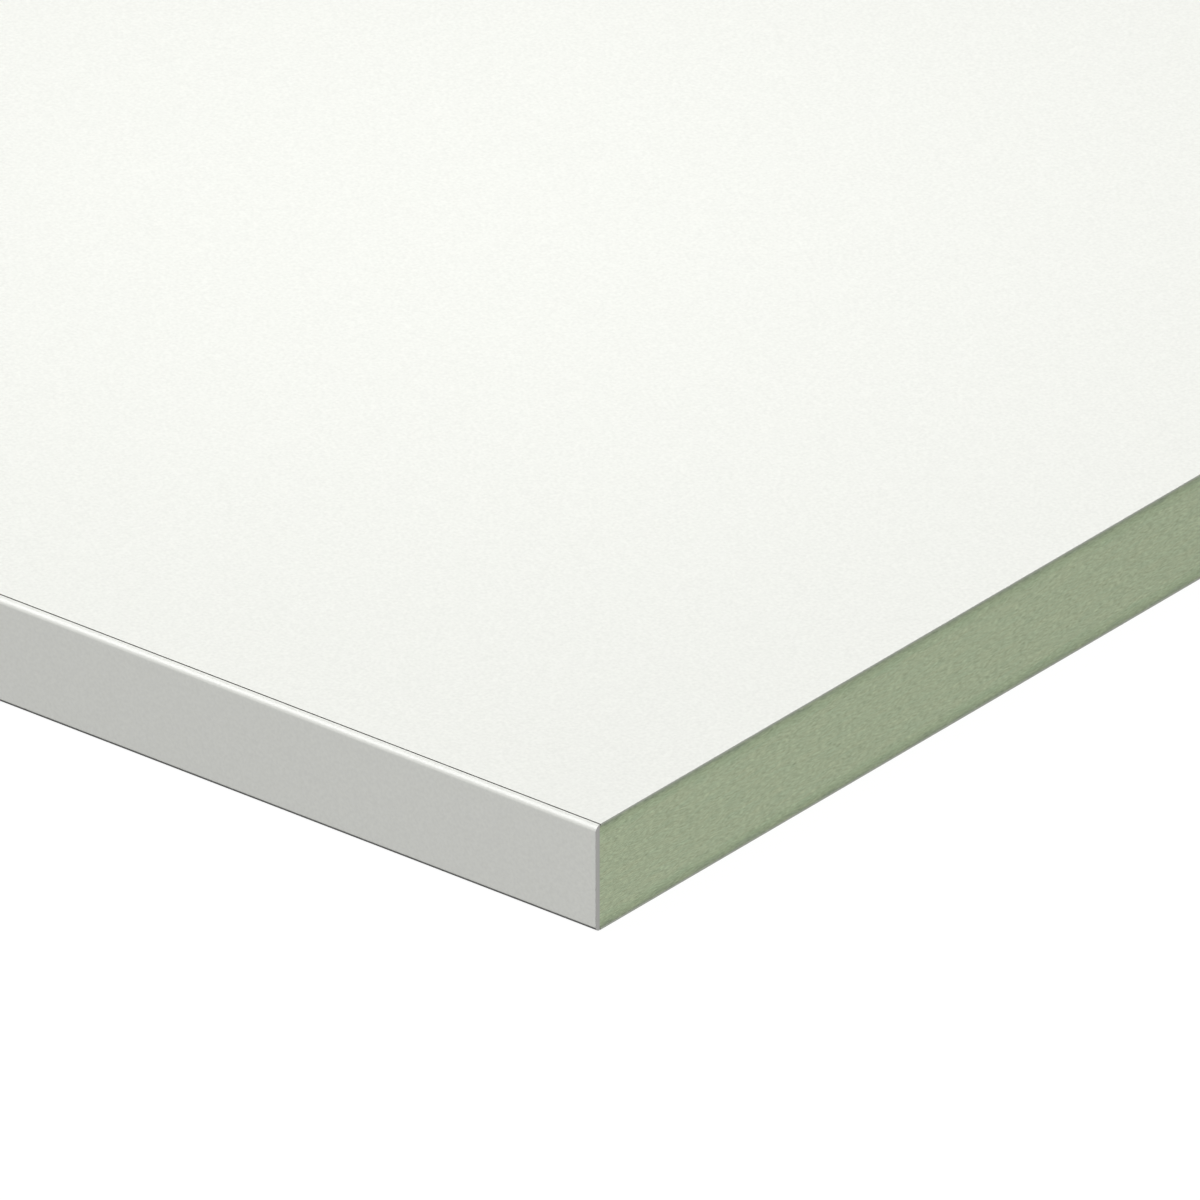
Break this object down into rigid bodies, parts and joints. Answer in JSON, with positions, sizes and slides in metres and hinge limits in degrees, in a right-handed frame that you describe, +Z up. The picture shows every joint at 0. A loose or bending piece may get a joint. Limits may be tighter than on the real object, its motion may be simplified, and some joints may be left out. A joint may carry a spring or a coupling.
{
  "type": "mdf board",
  "caption": "Flat moisture-resistant MDF board with white laminated faces, sawn pale green fibre ends and a white plastic band with rounded arrises glued along its long front edge.",
  "frame": {"origin": "middle of the underside, on the surface that the board lies on", "axes": "+X along the banded front edge, +Y across the board away from the band, +Z up through the thickness"},
  "size_m": [0.6, 0.3, 0.018],
  "materials": {
    "green_fibre": "sawn pale green fibre, matt, denser and darker towards the faces",
    "white_laminate": "warm white decor sheet, satin with a fine pearl",
    "white_band": "warm white plastic, satin gloss, with a grey sawn end"
  },
  "bodies": {
    "root": {"mdf_core": "green_fibre", "top_laminate": "white_laminate", "bottom_laminate": "white_laminate", "edge_band": "white_band"}
  },
  "joints": []
}
